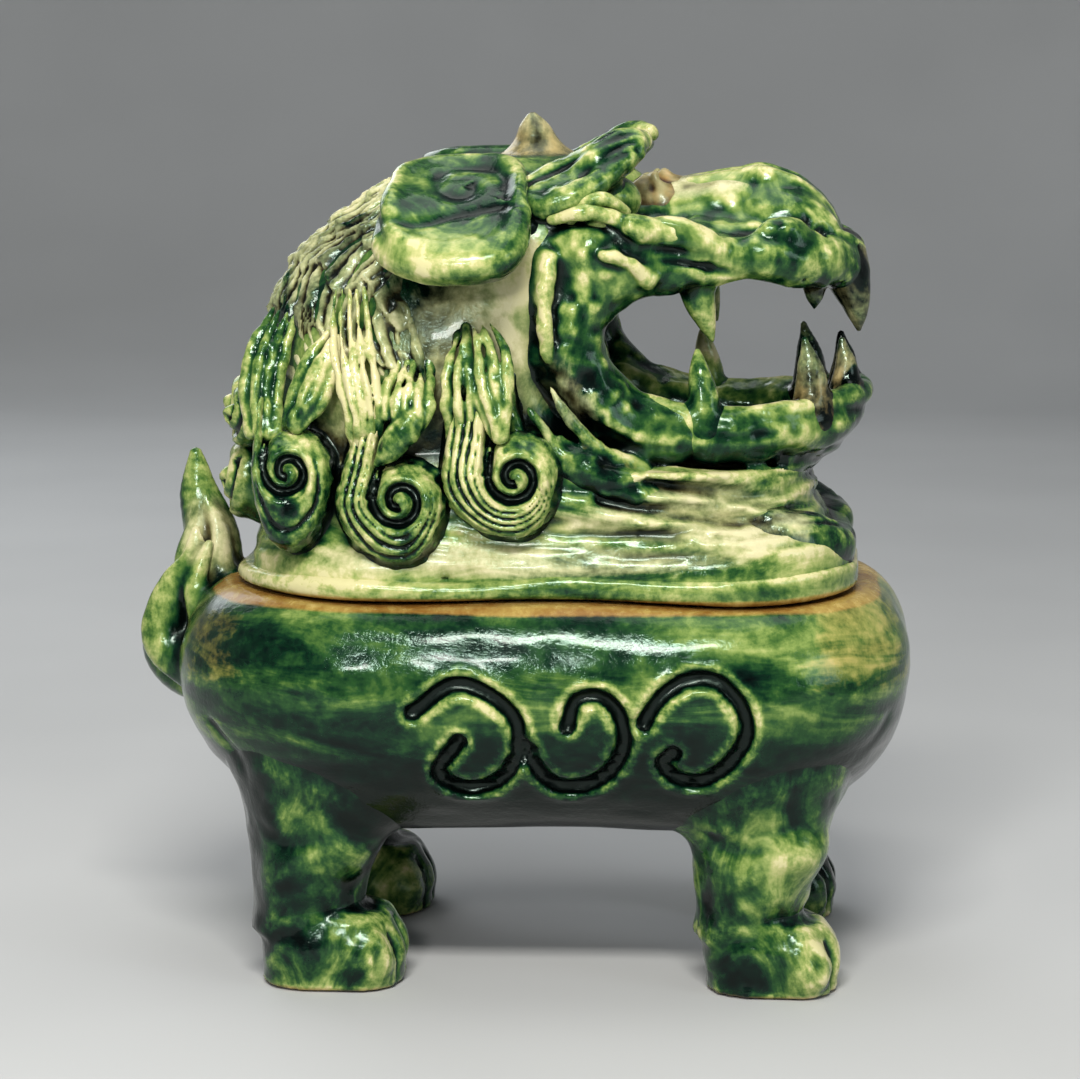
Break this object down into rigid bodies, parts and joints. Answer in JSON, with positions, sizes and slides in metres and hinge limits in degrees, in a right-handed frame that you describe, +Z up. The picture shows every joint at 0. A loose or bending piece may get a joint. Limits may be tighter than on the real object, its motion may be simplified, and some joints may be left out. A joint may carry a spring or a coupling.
{
  "type": "foo dog statue",
  "caption": "Lidded ceramic lion-dog incense burner: a footed bowl with a flame tail, and a lift-off hollow head for a lid, its fanged mouth open from side to side.",
  "frame": {"origin": "on the table, under the middle of the overall length and width", "axes": "+X the way the beast looks, +Y its left side, +Z up"},
  "size_m": [0.1809, 0.118, 0.1956],
  "materials": {
    "green_glaze": "glossy, mottled, thin over edges",
    "bare_clay": "matt, unglazed"
  },
  "bodies": {
    "burner_body": {"bowl": "green_glaze", "front_left_leg": "green_glaze", "front_left_paw": "green_glaze", "front_right_leg": "green_glaze", "front_right_paw": "green_glaze", "rear_left_leg": "green_glaze", "rear_left_paw": "green_glaze", "rear_right_leg": "green_glaze", "rear_right_paw": "green_glaze", "tail_curl": "green_glaze", "tail_flame": "green_glaze", "tail_left_leaf": "green_glaze", "tail_right_leaf": "green_glaze"},
    "lid": {"back_mane": "green_glaze", "front_left_curl": "green_glaze", "front_left_lock": "green_glaze", "front_right_curl": "green_glaze", "front_right_lock": "green_glaze", "frown_bump": "green_glaze", "horn": "green_glaze", "left_beard": "green_glaze", "left_brow": "green_glaze", "left_cheek": "green_glaze", "left_ear": "green_glaze", "left_eye": "green_glaze", "left_mane": "green_glaze", "lid_flange": "green_glaze", "lid_locating_ring": "bare_clay", "lower_front_teeth": "green_glaze", "lower_jaw": "green_glaze", "lower_left_fang": "green_glaze", "lower_nape_curls": "green_glaze", "lower_right_fang": "green_glaze", "middle_left_curl": "green_glaze", "middle_left_lock": "green_glaze", "middle_right_curl": "green_glaze", "middle_right_lock": "green_glaze", "neck": "green_glaze", "nose": "green_glaze", "rear_left_curl": "green_glaze", "rear_left_lock": "green_glaze", "rear_right_curl": "green_glaze", "rear_right_lock": "green_glaze", "right_beard": "green_glaze", "right_brow": "green_glaze", "right_cheek": "green_glaze", "right_ear": "green_glaze", "right_eye": "green_glaze", "right_mane": "green_glaze", "skull": "green_glaze", "upper_front_teeth": "green_glaze", "upper_left_fang": "green_glaze", "upper_muzzle": "green_glaze", "upper_nape_curls": "green_glaze", "upper_right_fang": "green_glaze"}
  },
  "joints": [
    {"name": "lid_lift", "type": "slide", "parent": "burner_body", "child": "lid", "axis": [0, 0, 1], "range_m": [0, 0.06]}
  ]
}
